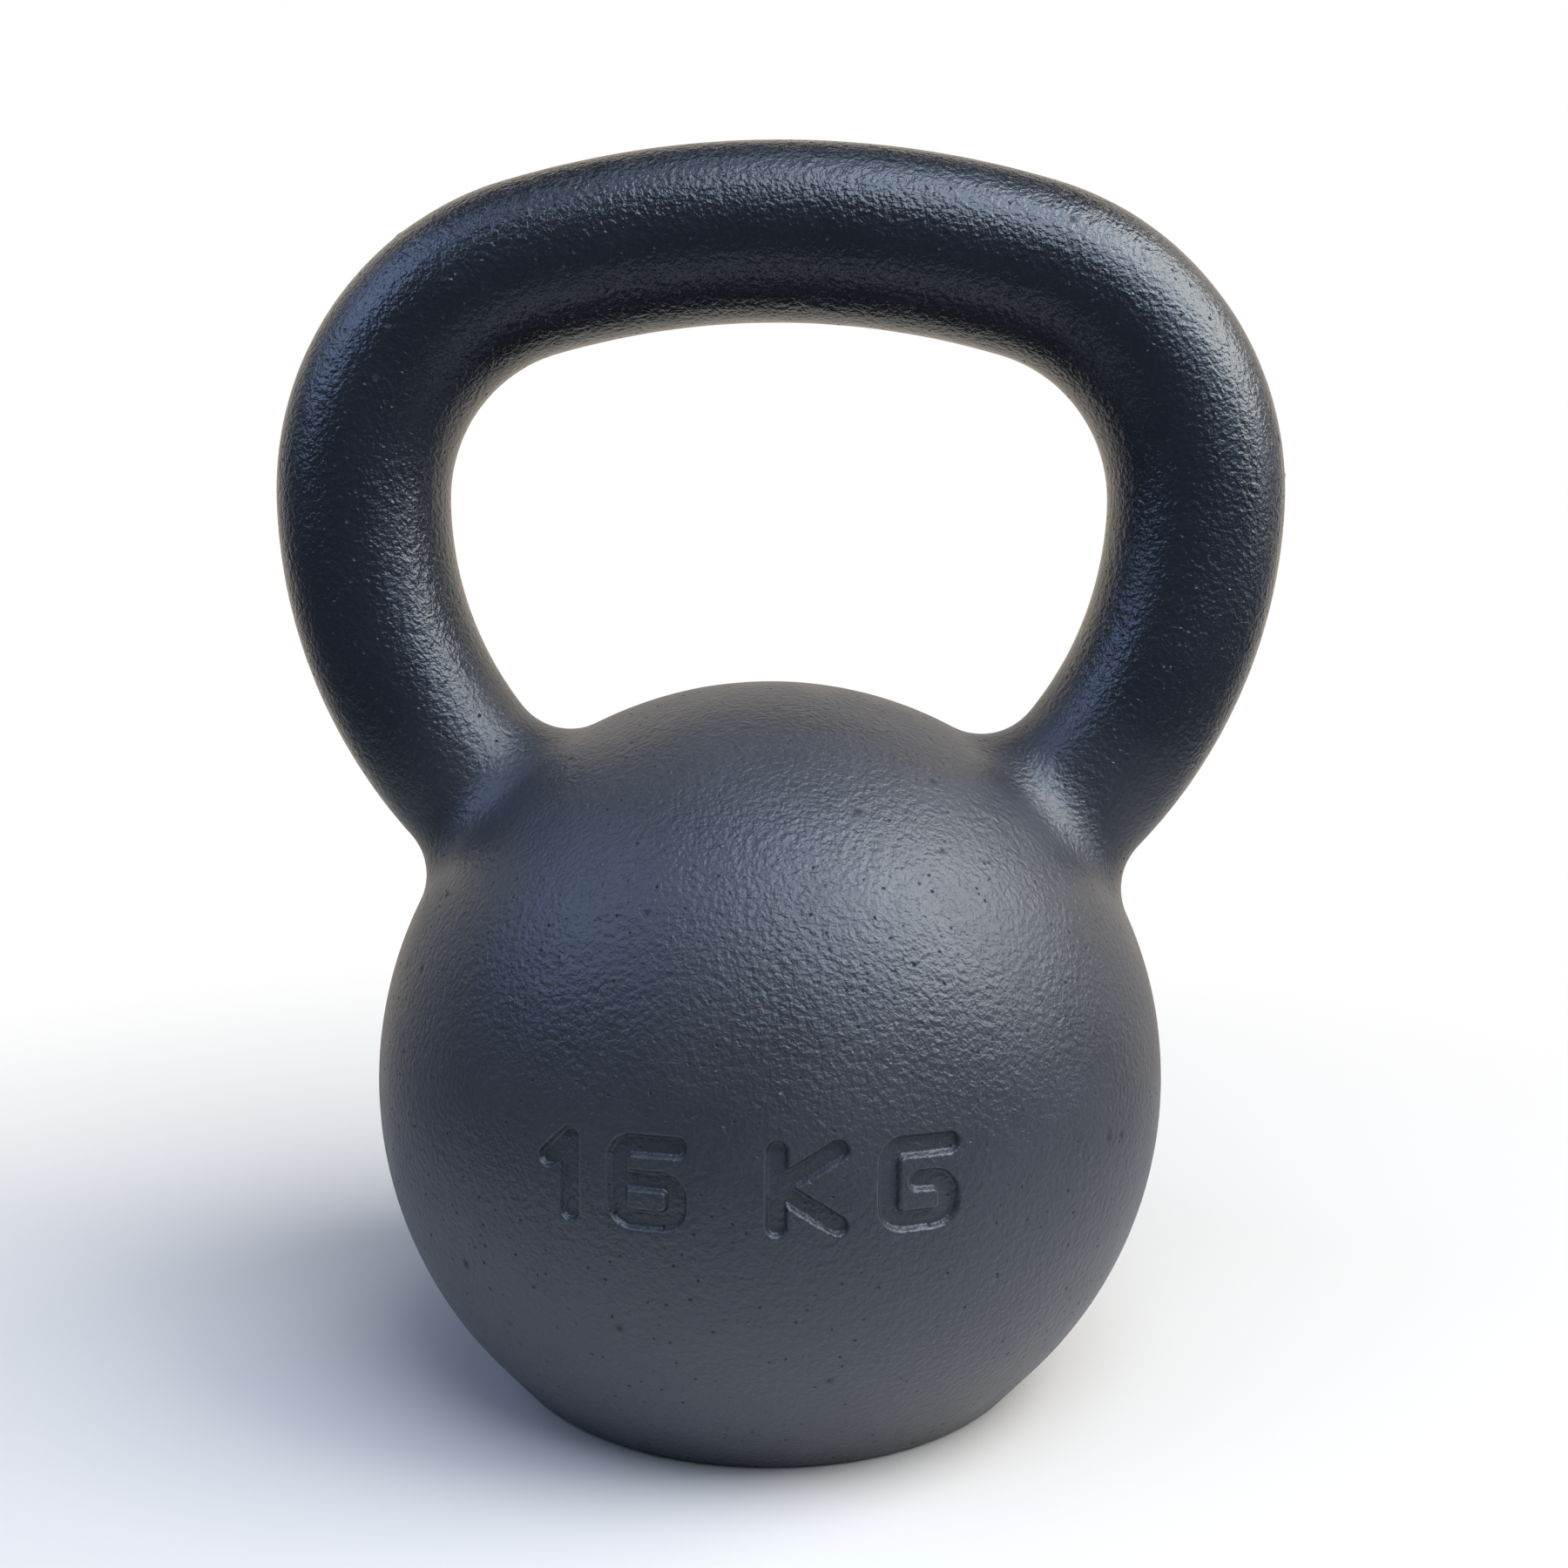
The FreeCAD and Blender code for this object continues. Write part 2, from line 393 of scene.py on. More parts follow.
def turned_ball(form, name, inset, segments):
    """The ball less an inset, with its foot drawn out ring by ring and its base closed."""
    latitude, edge_x, edge_z = foot_section(form)
    radius = form.ball_radius - inset
    pick_none()
    bpy.ops.mesh.primitive_uv_sphere_add(segments=segments, ring_count=segments // 2, radius=radius,
                                         location=(0, 0, form.ball_height))
    item = bpy.context.object
    item.name = name
    place_in_mesh()
    bpy.ops.object.mode_set(mode="EDIT")
    bpy.ops.mesh.select_mode(type="VERT")
    bpy.ops.mesh.select_all(action="SELECT")
    foot = form.ball_height - radius * math.sin(latitude)
    bpy.ops.mesh.bisect(plane_co=(0, 0, foot), plane_no=(0, 0, 1), clear_inner=True)
    ring, height = radius * math.cos(latitude), foot
    edge = form.base_round - inset
    for step in range(FOOT_RINGS + 1):
        angle = latitude + (math.pi / 2 - latitude) * step / FOOT_RINGS
        wider = (edge_x + edge * math.cos(angle)) / ring
        drop = edge_z - edge * math.sin(angle) - height
        bpy.ops.mesh.extrude_region_move(TRANSFORM_OT_translate={"value": (0, 0, drop)})
        bpy.ops.transform.resize(value=(wider, wider, 1), center_override=(0, 0, height + drop))
        ring, height = ring * wider, height + drop
    bpy.ops.mesh.edge_face_add()
    bpy.ops.mesh.select_all(action="SELECT")
    bpy.ops.mesh.normals_make_consistent(inside=False)
    bpy.ops.object.mode_set(mode="OBJECT")
    return item


def bent_bar(form, name, inset, segments, steps):
    """The handle's bar less an inset, spun from the middle of the grip down to a root and mirrored."""
    path = bar_path(form)
    top = path[0][0][1] + path[0][1]
    pick_none()
    bpy.ops.mesh.primitive_circle_add(vertices=segments, radius=form.grip_diameter / 2 - inset,
                                      location=(0, 0, top), rotation=(0, math.pi / 2, 0))
    item = bpy.context.object
    item.name = name
    place_in_mesh()
    bpy.ops.object.mode_set(mode="EDIT")
    bpy.ops.mesh.select_mode(type="VERT")
    bpy.ops.mesh.select_all(action="SELECT")
    for (centre, _, first, last), count in zip(path, steps):
        bpy.ops.mesh.spin(steps=count, angle=last - first, center=(centre[0], 0, centre[1]), axis=(0, -1, 0))
    bpy.ops.mesh.edge_face_add()
    bpy.ops.object.mode_set(mode="OBJECT")
    mirror = item.modifiers.new("Other side", "MIRROR")
    mirror.merge_threshold = 1e-6
    apply_modifiers(item)
    bpy.ops.object.mode_set(mode="EDIT")
    bpy.ops.mesh.select_all(action="SELECT")
    bpy.ops.mesh.normals_make_consistent(inside=False)
    bpy.ops.object.mode_set(mode="OBJECT")
    return item


def cut_away(item, *tools):
    """Takes the tools' solids away from the item, and the tools with them."""
    for tool in tools:
        cut = item.modifiers.new("Cut", "BOOLEAN")
        cut.operation = "DIFFERENCE"
        cut.solver = "MANIFOLD"
        cut.object = tool
    apply_modifiers(item)
    pick(*tools)
    bpy.ops.object.delete()


# ---------------------------------------------------------------------------------------------
# The weight mark
# ---------------------------------------------------------------------------------------------

def rounded_strokes(points, radius):
    """A run of strokes with right-angled corners, rounded: its straights and its quarter turns."""
    straights, turns = [], []
    start = Vector(points[0])
    for before, here, after in zip(points, points[1:], points[2:]):
        corner = Vector(here)
        back, on = (Vector(before) - corner).normalized(), (Vector(after) - corner).normalized()
        straights.append((start, corner + back * radius))
        turns.append((corner + (back + on) * radius, radius, -on, -back))
        start = corner + on * radius
    straights.append((start, Vector(points[-1])))
    return straights, turns


def mark_strokes(mark, ball_height):
    """The centrelines of every stroke of 16 KG, in XZ."""
    pen = mark.stroke / 2
    high, waist = mark.height - mark.stroke, mark.waist
    narrow, wide = mark.one_width - mark.stroke, mark.wide_width - mark.stroke
    one = [[(narrow, 0), (narrow, high)], [(0, high - narrow), (narrow, high)]]
    six = [[(wide, high), (0, high), (0, 0), (wide, 0), (wide, waist), (0, waist)]]
    kay = [[(0, 0), (0, high)], [(0, waist), (wide, high)], [(0, waist), (wide, 0)]]
    gee = [[(wide, high), (0, high), (0, 0), (wide, 0), (wide, waist), (wide / 2, waist)]]
    gaps = [mark.letter_gap, mark.word_gap, mark.letter_gap, 0.0]
    full = mark.one_width + 3 * mark.wide_width + sum(gaps)
    left, foot = pen - full / 2, ball_height + mark.rise - high / 2
    straights, turns = [], []
    for runs, width, gap in zip((one, six, kay, gee), (mark.one_width, *[mark.wide_width] * 3), gaps):
        for run in runs:
            placed = [(left + x, foot + z) for x, z in run]
            lines, corners = rounded_strokes(placed, mark.corner)
            straights += lines
            turns += corners
        left += width + gap
    return straights, turns


def from_strokes(mark, ball_height, points):
    """Each point's distance from the nearest stroke's centreline, seen from the front."""
    straights, turns = mark_strokes(mark, ball_height)
    flat = points[:, [0, 2]]
    nearest = np.full(len(points), np.inf)
    for start, end in straights:
        run = np.array(end - start)
        share = np.clip(((flat - np.array(start)) @ run) / (run @ run), 0, 1)
        nearest = np.minimum(nearest, np.linalg.norm(flat - np.array(start) - share[:, None] * run, axis=1))
    for centre, radius, first, last in turns:
        offset = flat - np.array(centre)
        inside = (offset @ np.array(first) >= 0) & (offset @ np.array(last) >= 0)
        distance = abs(np.linalg.norm(offset, axis=1) - radius)
        nearest = np.where(inside, np.minimum(nearest, distance), nearest)
    return np.where(points[:, 1] < 0, nearest, np.inf)


def sink_mark(form, mark, points, direction):
    """Lowers the skin inside the strokes, with soft edges where the coat rounds them."""
    from_line = from_strokes(mark, form.ball_height, points)
    share = np.clip((mark.stroke / 2 + mark.softness - from_line) / (2 * mark.softness), 0, 1)
    return points - direction * (mark.depth * smoothstep(share))[:, None]


# ---------------------------------------------------------------------------------------------
# Marks of casting and handling
# ---------------------------------------------------------------------------------------------

def on_ball(form, around, up):
    """A place on the ball: degrees round from the front towards +X, and up from its middle."""
    out = heading(math.radians(around), math.radians(up))
    return out * form.ball_radius + Vector((0, 0, form.ball_height))


def on_bar(form, side, angle, around):
    """A place on the bar: degrees down a side from the top, and round from its outside towards the front."""
    a, r = math.radians(angle), math.radians(around)
    for centre, radius, first, last in bar_path(form):
        if a <= last:
            break
    out = Vector((math.sin(a), 0, math.cos(a)))
    middle = Vector((centre[0], 0, centre[1])) + out * radius
    place = middle + (out * math.cos(r) + Vector((0, -1, 0)) * math.sin(r)) * form.grip_diameter / 2
    return Vector((place.x * side, place.y, place.z))


def scars(form, skin):
    """Places and radii of pits, -1, and nibs, 1: first the few that stand out, then the scattered ones."""
    found = [
        (on_ball(form, 1.4, 1.1), 0.0006, -1),
        (on_ball(form, 52.5, 0.8), 0.0010, -1),
        (on_ball(form, 56.0, 0.2), 0.0008, -1),
        (on_ball(form, 33.0, 41.5), 0.0006, -1),
        (on_bar(form, -1, 1.5, 41), 0.0007, -1),
        (on_bar(form, 1, 21, 62), 0.0008, -1),
        (on_bar(form, 1, 25, 45), 0.0012, 1),
        (on_bar(form, -1, 88, 112), 0.0010, 1),
        (on_bar(form, 1, 2.7, 154), 0.0012, 1),
        (on_bar(form, 1, 4.0, 158), 0.0009, 1),
    ]
    chance = random.Random(skin.scar_seed)
    for _ in range(skin.scar_count):
        if chance.random() < 0.7:
            place = on_ball(form, chance.uniform(-180, 180), chance.uniform(-38, 75))
        else:
            place = on_bar(form, chance.choice((-1, 1)), chance.uniform(0, 95), chance.uniform(0, 360))
        found.append((place, chance.uniform(0.0005, 0.0011), chance.choice((-1, -1, 1))))
    return found


def scar_shape(points, middle, radius):
    """A soft spot: 1 in the middle of a scar, and near 0 two radii out."""
    return np.exp(-1.6 * (np.linalg.norm(points - np.array(middle), axis=1) / radius) ** 2)


def cloud_relief(item, name, spacing, height):
    """Moves the skin in and out in soft lumps of a given spacing."""
    lumps = bpy.data.textures.new(name, "CLOUDS")
    lumps.noise_scale = spacing
    lumps.noise_depth = 1
    relief = item.modifiers.new(name, "DISPLACE")
    relief.texture = lumps
    relief.texture_coords = "LOCAL"
    relief.strength = height
    relief.mid_level = 0.5


# ---------------------------------------------------------------------------------------------
# Materials
# ---------------------------------------------------------------------------------------------

def add_node(tree, kind, links=(), **settings):
    """Adds a node. Settings with a leading capital, or a number in in_, are input sockets; the rest are the
    node's own. Links are (input, output socket) pairs."""
    node = tree.nodes.new("ShaderNode" + kind)
    for name, value in settings.items():
        if name.startswith("in_"):
            node.inputs[int(name[3:])].default_value = value
        elif name[0].isupper():
            node.inputs[name.replace("_", " ")].default_value = value
        else:
            setattr(node, name, value)
    for socket, source in links:
        tree.links.new(node.inputs[socket], source)
    return node


def blank_material(name):
    material = bpy.data.materials.new(name)
    material.use_nodes = True
    material.node_tree.nodes.clear()
    return material, material.node_tree


def powder_coat(finish):
    """Black polyester powder, sprayed and stoved over a sand casting. It gives the eye a satin sheen that
    orange peel breaks up at every highlight's edge, pinholes over the iron's pores with painted shade inside
    them, uneven clouds of dust, and a ball lighter than the handle. Ball and handle wear the same coat: the
    ball's lighter colour is painted light and the handle's darker colour painted shade."""
    material, tree = blank_material("Stoved black powder coat over sand-cast iron")
    place = add_node(tree, "TexCoord").outputs["Object"]
    handle_shade_and_gloss = add_node(tree, "Attribute", attribute_name="handle_shade_and_gloss").outputs["Fac"]

    # Orange peel: the powder flows out into low cells about a millimetre apart.
    peel = add_node(tree, "TexNoise", [("Vector", place)], Scale=1 / finish.peel_spacing, Detail=2.0,
                    Roughness=0.55, Distortion=0.15).outputs["Fac"]
    swell = add_node(tree, "TexNoise", [("Vector", place)], Scale=0.33 / finish.peel_spacing, Detail=1.0,
                     Roughness=0.5).outputs["Fac"]
    # Pinholes: where the skin cuts a cell's middle it has a hole, up to 0.9 mm across. A noise with lumps
    # 1.1 mm across moves its edge in and out by up to 0.3 mm.
    ragged = add_node(tree, "TexNoise", [("Vector", place)], Scale=900, Detail=1.0).outputs["Color"]
    ragged = add_node(tree, "VectorMath", [(0, ragged)], operation="SCALE", Scale=0.0006).outputs[0]
    spot = add_node(tree, "VectorMath", [(0, place), (1, ragged)], operation="ADD").outputs[0]
    pores = add_node(tree, "TexVoronoi", [("Vector", spot)], Scale=1 / finish.pore_spacing, Randomness=1.0)
    hole = add_node(tree, "MapRange", [("Value", pores.outputs["Distance"])], interpolation_type="SMOOTHSTEP",
                    From_Min=0.036, From_Max=0.15, To_Min=1.0, To_Max=0.0).outputs["Result"]
    # The pits that the skin itself has are holes too, and get the same painted shade.
    pitted = add_node(tree, "Attribute", attribute_name="pitted").outputs["Fac"]
    hole = add_node(tree, "Math", [(0, hole), (1, pitted)], operation="MAXIMUM").outputs[0]
    # Nibs: grains of sand and powder under the coat, found the same way, that sparkle where it is dark.
    grains = add_node(tree, "TexVoronoi", [("Vector", spot)], Scale=1 / finish.nib_spacing, Randomness=0.9)
    nib = add_node(tree, "MapRange", [("Value", grains.outputs["Distance"])], interpolation_type="SMOOTHSTEP",
                   From_Min=0.01, From_Max=0.1, To_Min=1.0, To_Max=0.0).outputs["Result"]
    # Dust lies in uneven clouds a few centimetres across.
    clouds = add_node(tree, "TexNoise", [("Vector", place)], Scale=45, Detail=4.0,
                      Roughness=0.6).outputs["Fac"]
    dusty = add_node(tree, "MapRange", [("Value", clouds)], From_Min=0.3, From_Max=0.7, To_Min=0.82,
                     To_Max=1.12).outputs["Result"]

    # The ball's lighter colour is painted light and the handle's darker colour painted shade, over one and
    # the same coat.
    base = add_node(tree, "Mix", [(0, handle_shade_and_gloss)], data_type="RGBA",
                    in_6=(*finish.ball_colour, 1), in_7=(*finish.handle_colour, 1)).outputs[2]
    uneven = add_node(tree, "VectorMath", [(0, base), ("Scale", dusty)], operation="SCALE").outputs[0]
    # Inside pinholes and pits the colour is darkened: painted shade.
    holed = add_node(tree, "Mix", [(0, hole), (6, uneven)], data_type="RGBA",
                     in_7=(*finish.hole_colour, 1)).outputs[2]

    smooth = add_node(tree, "Mix", [(0, handle_shade_and_gloss)], in_2=finish.ball_roughness,
                      in_3=finish.handle_roughness).outputs[0]
    patchy = add_node(tree, "Math", [(0, smooth), (1, dusty)], operation="MULTIPLY").outputs[0]
    matt = add_node(tree, "Mix", [(0, hole), (2, patchy)], in_3=0.9).outputs[0]

    height = add_node(tree, "Math", [(0, peel)], operation="MULTIPLY", in_1=finish.peel_height).outputs[0]
    for shape, lift in ((swell, finish.peel_height * 0.25), (hole, -finish.hole_depth),
                        (nib, finish.grain_height)):
        height = add_node(tree, "Math", [(0, shape), (2, height)], operation="MULTIPLY_ADD",
                          in_1=lift).outputs[0]
    relief = add_node(tree, "Bump", [("Height", height)], Strength=1.0, Distance=1.0)
    surface = add_node(tree, "BsdfPrincipled", [("Base Color", holed), ("Roughness", matt),
                                                ("Normal", relief.outputs[0])],
                       IOR=1.5, Specular_IOR_Level=0.8,
                       Specular_Tint=(*linear("#ecf5ff"), 1))
    add_node(tree, "OutputMaterial", [("Surface", surface.outputs[0])])
    return material


def faced_iron(finish):
    """Grey cast iron, faced flat on a lathe and oiled. It gives the eye fine rings round the middle, a
    soft grey shine and the dull flecks of its graphite."""
    material, tree = blank_material("Grey cast iron faced on a lathe")
    place = add_node(tree, "TexCoord").outputs["Object"]
    # Feed marks of the facing tool: rings round the middle, in relief and in tone.
    flat = add_node(tree, "VectorMath", [(0, place)], operation="MULTIPLY", in_1=(1, 1, 0)).outputs[0]
    out = add_node(tree, "VectorMath", [(0, flat)], operation="LENGTH").outputs["Value"]
    turn = add_node(tree, "Math", [(0, out)], operation="MULTIPLY",
                    in_1=2 * math.pi / finish.tool_spacing).outputs[0]
    ring = add_node(tree, "Math", [(0, turn)], operation="SINE").outputs[0]
    bright = add_node(tree, "MapRange", [("Value", ring)], From_Min=-1.0, From_Max=1.0, To_Min=0.9,
                      To_Max=1.06).outputs["Result"]
    # Graphite flecks, drawn coarser than real at about 0.7 mm, and stains of old oil.
    fleck = add_node(tree, "TexNoise", [("Vector", place)], Scale=1400, Detail=3.0,
                     Roughness=0.65).outputs["Fac"]
    stain = add_node(tree, "TexNoise", [("Vector", place)], Scale=60, Detail=4.0,
                     Roughness=0.6).outputs["Fac"]
    tone = add_node(tree, "MapRange", [("Value", stain)], From_Min=0.3, From_Max=0.7, To_Min=0.8,
                    To_Max=1.1).outputs["Result"]
    tone = add_node(tree, "Math", [(0, tone), (1, bright)], operation="MULTIPLY").outputs[0]
    grey = add_node(tree, "VectorMath", [("Scale", tone)], operation="SCALE",
                    in_0=tuple(finish.iron_colour)).outputs[0]
    dull = add_node(tree, "MapRange", [("Value", fleck)], From_Min=0.35, From_Max=0.7,
                    To_Min=finish.iron_roughness, To_Max=finish.iron_roughness + 0.2).outputs["Result"]
    relief = add_node(tree, "Bump", [("Height", ring)], Strength=1.0, Distance=0.00002)
    relief = add_node(tree, "Bump", [("Height", fleck), ("Normal", relief.outputs[0])], Strength=1.0,
                      Distance=0.00003)
    surface = add_node(tree, "BsdfPrincipled", [("Base Color", grey), ("Roughness", dull),
                                                ("Normal", relief.outputs[0])], Metallic=1.0)
    add_node(tree, "OutputMaterial", [("Surface", surface.outputs[0])])
    return material


# ---------------------------------------------------------------------------------------------
# Operators
# ---------------------------------------------------------------------------------------------

class KETTLEBELL_OT_coat(bpy.types.Operator):
    """Model the coated skin of ball and handle in one piece, and take the frame's coat out of sight"""
    bl_idname = "kettlebell.coat"
    bl_label = "Powder Coat"
    bl_options = {"REGISTER", "UNDO"}

    def execute(self, context):
        scene = context.scene
        form, mark, skin = scene.kettlebell_form, scene.kettlebell_mark, scene.kettlebell_skin
        found = scars(form, skin)
        coat = self.one_skin(form, skin)
        self.refine(coat, form, mark, found)
        self.shape(coat, form, mark, skin, found)
        self.hollow(coat, form, mark)
        if not closed(coat):
            raise RuntimeError("The coat's skin has an open edge")
        pick(coat)
        bpy.ops.object.shade_smooth_by_angle(angle=CREASE)

        points = coordinates(coat)
        to_ball, _ = from_ball(form, points)
        # How far each place is into the handle: it sets the handle's glossier coat and its darker colour,
        # which is painted shade.
        paint(coat, "handle_shade_and_gloss", smoothstep(np.clip((to_ball - HANDLE_START) / HANDLE_BLEND, 0, 1)))
        # Soft spots round each pit, which the material bumps in and darkens with painted shade.
        pits = [scar_shape(points, middle, radius) for middle, radius, kind in found if kind < 0]
        paint(coat, "pitted", np.max(pits, axis=0))
        coat.data.materials.clear()
        coat.data.materials.append(powder_coat(scene.kettlebell_finish))
        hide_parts(COAT_NODE)
        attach(coat, BODY)
        return {"FINISHED"}

    def one_skin(self, form, skin):
        """Ball and bar in one even skin, seated on the true form."""
        ball_segments, bar_segments, steps = SKIN_SEGMENTS
        coat = turned_ball(form, "coated_casting", 0.0, ball_segments)
        bar = bent_bar(form, "Bar", 0.0, bar_segments, steps)
        pick(coat, bar)
        bpy.ops.object.join()
        merge = coat.modifiers.new("One skin", "REMESH")
        merge.mode = "VOXEL"
        merge.voxel_size = skin.mesh_step
        apply_modifiers(coat)
        place, _ = seated(form, coordinates(coat))
        set_coordinates(coat, place)
        return coat

    def refine(self, coat, form, mark, found):
        """Cuts the skin finer where the mark and the scars need it."""
        reach = mark.stroke / 2 + mark.softness
        for margin, cuts in MARK_CUTS:
            centres = face_centres(coat)
            split_faces(coat, from_strokes(mark, form.ball_height, centres) < reach + margin, cuts)
        for spread in SCAR_CUTS:
            centres = face_centres(coat)
            close = np.zeros(len(centres), dtype=bool)
            for middle, radius, _ in found:
                close |= np.linalg.norm(centres - np.array(middle), axis=1) < radius * spread + SCAR_MARGIN
            areas = np.empty(len(centres))
            coat.data.polygons.foreach_get("area", areas)
            split_faces(coat, close & (areas > SCAR_FACE), 1)

    def shape(self, coat, form, mark, skin, found):
        """Sets the skin back a little, sinks the mark, and gives the scars and the waves their height."""
        place, direction = seated(form, coordinates(coat))
        height = np.full(len(place), -skin.set_back)
        for middle, radius, kind in found:
            height += (skin.nib_height if kind > 0 else -skin.pit_depth) * scar_shape(place, middle, radius)
        place = sink_mark(form, mark, place, direction) + direction * height[:, None]
        set_coordinates(coat, place)
        cloud_relief(coat, "Casting waves", skin.wave_spacing, skin.wave_height)
        cloud_relief(coat, "Coat ripples", skin.ripple_spacing, skin.ripple_height)
        apply_modifiers(coat)

    def hollow(self, coat, form, mark):
        """Cuts out the iron's room, which stands clear of the sunk strokes and is open at the base."""
        ball_segments, bar_segments, steps = ROOM_SEGMENTS
        ball_room = turned_ball(form, "Room in ball", form.coat_thickness, ball_segments)
        room = coordinates(ball_room)
        middle = np.array([0, 0, form.ball_height])
        off = abs(room - middle)
        behind = (off[:, 0] < STAND_BACK[0]) & (off[:, 2] < STAND_BACK[1]) & (room[:, 1] < 0)
        room[behind] = middle + (room[behind] - middle) * (1 - 2 * mark.depth / form.ball_radius)
        set_coordinates(ball_room, room)
        bar_room = bent_bar(form, "Room in bar", form.coat_thickness, bar_segments, steps)
        pick_none()
        bpy.ops.mesh.primitive_cube_add(size=BLOCK, location=(0, 0, -BLOCK / 2))
        below = bpy.context.object
        place_in_mesh()
        cut_away(coat, ball_room, bar_room, below)


class KETTLEBELL_OT_iron(bpy.types.Operator):
    """Finish the bare iron of the frame's casting, seen only on the faced base"""
    bl_idname = "kettlebell.iron"
    bl_label = "Faced Iron"
    bl_options = {"REGISTER", "UNDO"}

    def execute(self, context):
        casting = bpy.data.objects[IRON_NODE]
        metal = faced_iron(context.scene.kettlebell_finish)
        if casting.material_slots:
            for slot in casting.material_slots:
                slot.material = metal
        else:
            casting.data.materials.append(metal)
        return {"FINISHED"}


def soft_lamp(name, around, up, size, power, tint):
    """A round soft lamp a metre from its aim: degrees round from the front towards +X, and up."""
    out = heading(math.radians(around), math.radians(up))
    turn = out.to_track_quat("Z", "Y").to_euler()
    bpy.ops.object.light_add(type="AREA", location=LAMP_AIM + out, rotation=turn)
    lamp = bpy.context.object
    lamp.name = name
    lamp.data.shape = "DISK"
    lamp.data.size = size
    lamp.data.energy = power
    lamp.data.color = linear(tint)


class KETTLEBELL_OT_stage(bpy.types.Operator):
    """Set out the floor, the soft studio light and the camera"""
    bl_idname = "kettlebell.stage"
    bl_label = "Stage"
    bl_options = {"REGISTER", "UNDO"}

    def execute(self, context):
        scene = context.scene
        stage, form = scene.kettlebell_stage, scene.kettlebell_form
        floor = self.sweep(stage)
        floor.data.materials.append(self.floor_material(stage))

        soft_lamp("Key", 80, 42, 0.8, stage.key_power, "#fffbf4")
        soft_lamp("Front", 30, 56, 0.8, stage.front_power, "#e8f1ff")
        soft_lamp("Top", 5, 76, 1.0, stage.top_power, "#d6e6ff")
        soft_lamp("Fill", -70, 38, 0.7, stage.fill_power, "#bad2ff")
        soft_lamp("Low Front", 45, 30, 0.6, stage.low_power * 0.58, "#d6e8ff")
        soft_lamp("Low Side", 85, 15, 0.5, stage.low_power * 0.42, "#ffffff")

        world = bpy.data.worlds.new("Plain grey studio")
        scene.world = world
        world.use_nodes = True
        tree = world.node_tree
        tree.nodes.clear()
        grey = add_node(tree, "Background", Color=(1, 1, 1, 1), Strength=stage.ambient)
        add_node(tree, "OutputWorld", [("Surface", grey.outputs[0])])

        bpy.ops.object.camera_add()
        camera = context.object
        camera.name = "Camera"
        camera.matrix_world = self.camera_place(stage, form)
        camera.data.sensor_width = 36
        camera.data.lens = stage.camera_focal
        camera.data.clip_start = 0.01
        scene.camera = camera
        scene.view_settings.view_transform = "Standard"
        return {"FINISHED"}

    def sweep(self, stage):
        """A round floor whose edge is drawn up into a wall all the way round."""
        pick_none()
        bpy.ops.mesh.primitive_circle_add(vertices=128, radius=stage.floor_radius, fill_type="NGON")
        floor = bpy.context.object
        floor.name = "Sweep"
        bpy.ops.object.mode_set(mode="EDIT")
        bpy.ops.mesh.select_mode(type="EDGE")
        bpy.ops.mesh.select_all(action="SELECT")
        bpy.ops.mesh.region_to_loop()
        bpy.ops.mesh.extrude_edges_move(TRANSFORM_OT_translate={"value": (0, 0, stage.wall_height)})
        bpy.ops.object.mode_set(mode="OBJECT")
        for edge in floor.data.edges:
            edge.select = all(floor.data.vertices[v].co.z < 0.01 for v in edge.vertices)
        bpy.ops.object.mode_set(mode="EDIT")
        bpy.ops.mesh.bevel(offset=stage.wall_bend, segments=24)
        bpy.ops.mesh.select_all(action="SELECT")
        bpy.ops.mesh.normals_make_consistent(inside=True)
        bpy.ops.object.mode_set(mode="OBJECT")
        bpy.ops.object.shade_smooth()
        return floor

    def floor_material(self, stage):
        """Matt white paper. Near the object the lamps light it and it keeps the shadow. Further out it is
        white to the camera. To mirror rays it glows, a painted reflection: white and warm behind the object,
        and dim and cool round the sides and the front."""
        material, tree = blank_material("Matt white background paper")
        rays = add_node(tree, "LightPath").outputs
        place = add_node(tree, "TexCoord").outputs["Object"]
        flat = add_node(tree, "VectorMath", [(0, place)], operation="MULTIPLY", in_1=(1, 1, 0)).outputs[0]
        reach = add_node(tree, "VectorMath", [(0, flat)], operation="LENGTH").outputs["Value"]
        toward = add_node(tree, "VectorMath", [(0, flat)], operation="NORMALIZE").outputs[0]
        back = add_node(tree, "SeparateXYZ", [(0, toward)]).outputs["Y"]
        forward = add_node(tree, "SeparateXYZ", [(0, place)]).outputs["Y"]

        away = add_node(tree, "MapRange", [("Value", reach)], interpolation_type="SMOOTHSTEP",
                        From_Min=stage.shadow_start, From_Max=stage.shadow_end).outputs["Result"]
        near = add_node(tree, "MapRange", [("Value", forward)], interpolation_type="SMOOTHSTEP",
                        From_Min=-stage.front_end, From_Max=-stage.front_start).outputs["Result"]
        tone = add_node(tree, "Mix", [(0, near)], data_type="RGBA", in_6=(*stage.front_colour, 1),
                        in_7=(*stage.floor_colour, 1)).outputs[2]
        paper = add_node(tree, "BsdfDiffuse", [("Color", tone)])

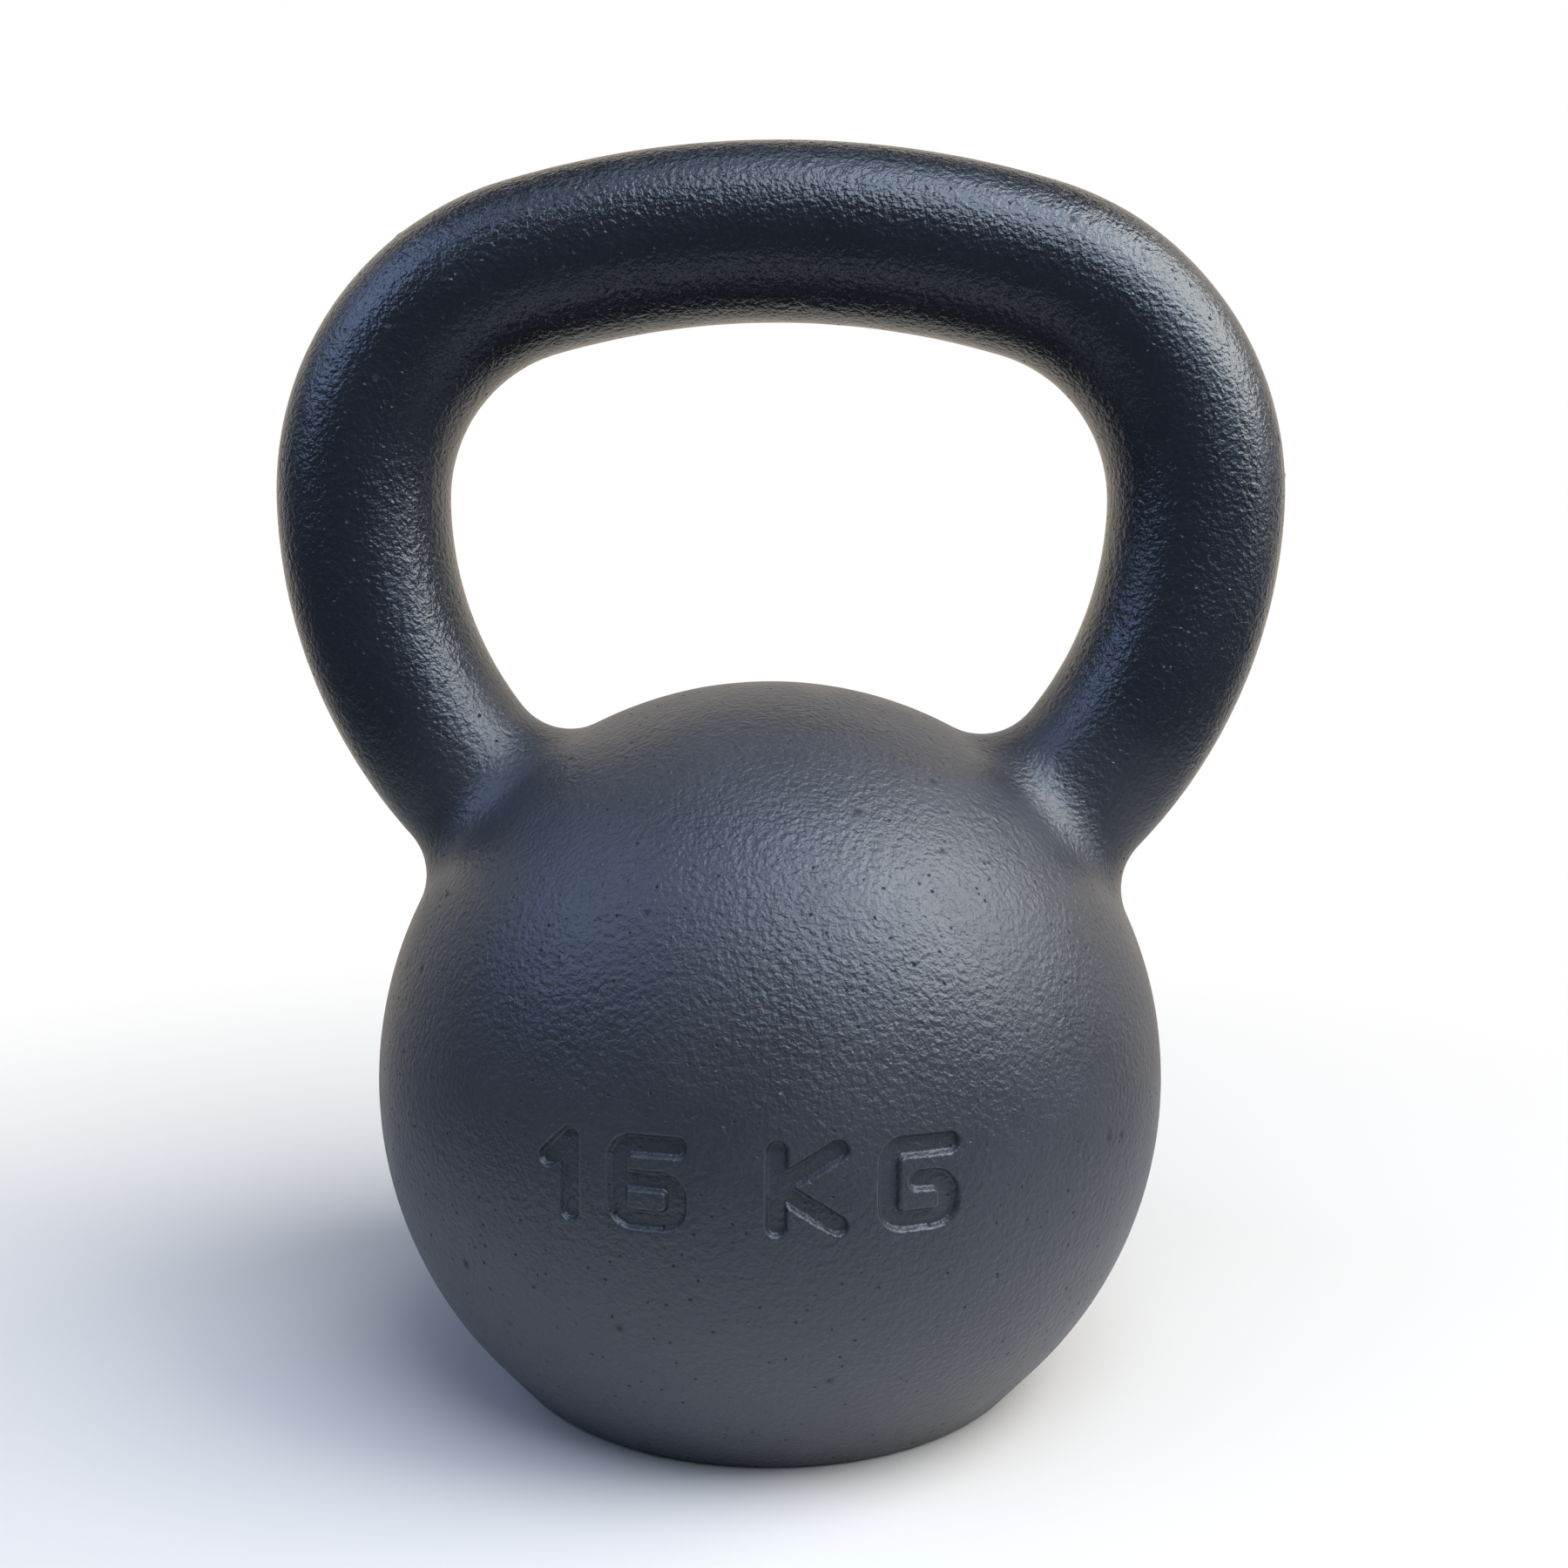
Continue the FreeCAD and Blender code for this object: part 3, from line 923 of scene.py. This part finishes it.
        # Back runs from -1 straight in front of the object to 1 straight behind it.
        # For mirror rays the paper glows in these colours and strengths, brighter behind than at the sides: a
        # painted reflection in the coat.
        behind = add_node(tree, "MapRange", [("Value", back)], interpolation_type="SMOOTHSTEP",
                          From_Min=0.1, From_Max=0.85, To_Min=stage.side_glow, To_Max=1.0).outputs["Result"]
        cast = add_node(tree, "Mix", [(0, behind)], data_type="RGBA", in_6=(*stage.cool_colour, 1),
                        in_7=(*stage.warm_colour, 1)).outputs[2]
        mirror = add_node(tree, "Math", [(0, rays["Is Glossy Ray"]), (1, rays["Is Transmission Ray"])],
                          operation="MAXIMUM").outputs[0]
        mirror = add_node(tree, "Math", [(0, mirror), (1, behind)], operation="MULTIPLY").outputs[0]
        seen = add_node(tree, "Math", [(0, rays["Is Camera Ray"]), (1, mirror)],
                        operation="MAXIMUM").outputs[0]
        white = add_node(tree, "Mix", [(0, rays["Is Camera Ray"]), (6, cast)], data_type="RGBA",
                         in_7=(1, 1, 1, 1)).outputs[2]
        glow = add_node(tree, "Emission", [("Color", white), ("Strength", seen)])

        both = add_node(tree, "MixShader", [(0, away), (1, paper.outputs[0]), (2, glow.outputs[0])])
        add_node(tree, "OutputMaterial", [("Surface", both.outputs[0])])
        return material

    def camera_place(self, stage, form):
        """Where the camera stands and how it is turned, as a matrix."""
        out = heading(stage.camera_side, stage.camera_lift)
        back = heading(stage.camera_side + stage.aim_side, stage.camera_lift - stage.aim_up)
        right = Vector((0, 0, 1)).cross(back).normalized()
        turn = Matrix((right, back.cross(right), back)).transposed() @ Matrix.Rotation(stage.roll, 3, "Z")
        middle = Vector((0, 0, form.ball_height))
        return Matrix.Translation(middle + out * stage.camera_distance) @ turn.to_4x4()


class KETTLEBELL_PT_panel(bpy.types.Panel):
    """Every step of the kettlebell, in order"""
    bl_idname = "KETTLEBELL_PT_panel"
    bl_label = "Kettlebell"
    bl_space_type = "VIEW_3D"
    bl_region_type = "UI"
    bl_category = "Kettlebell"

    def draw(self, context):
        for group in GROUPS:
            settings = getattr(context.scene, group)
            box = self.layout.box()
            box.label(text=group.replace("_", " ").title())
            for name in settings.bl_rna.properties.keys():
                if name not in ("rna_type", "name"):
                    box.prop(settings, name)
        for operator in OPERATORS:
            self.layout.operator(operator.bl_idname)


GROUPS = {
    "kettlebell_form": KettlebellForm,
    "kettlebell_mark": KettlebellMark,
    "kettlebell_skin": KettlebellSkin,
    "kettlebell_finish": KettlebellFinish,
    "kettlebell_stage": KettlebellStage,
}
OPERATORS = (KETTLEBELL_OT_coat, KETTLEBELL_OT_iron, KETTLEBELL_OT_stage)
CLASSES = (*GROUPS.values(), *OPERATORS, KETTLEBELL_PT_panel)


def register():
    for item in CLASSES:
        bpy.utils.register_class(item)
    for name, group in GROUPS.items():
        setattr(bpy.types.Scene, name, PointerProperty(type=group))


def unregister():
    for name in GROUPS:
        delattr(bpy.types.Scene, name)
    for item in reversed(CLASSES):
        bpy.utils.unregister_class(item)


def main():
    register()
    bpy.ops.kettlebell.coat()
    bpy.ops.kettlebell.iron()
    bpy.ops.kettlebell.stage()


if __name__ == "__main__":
    main()
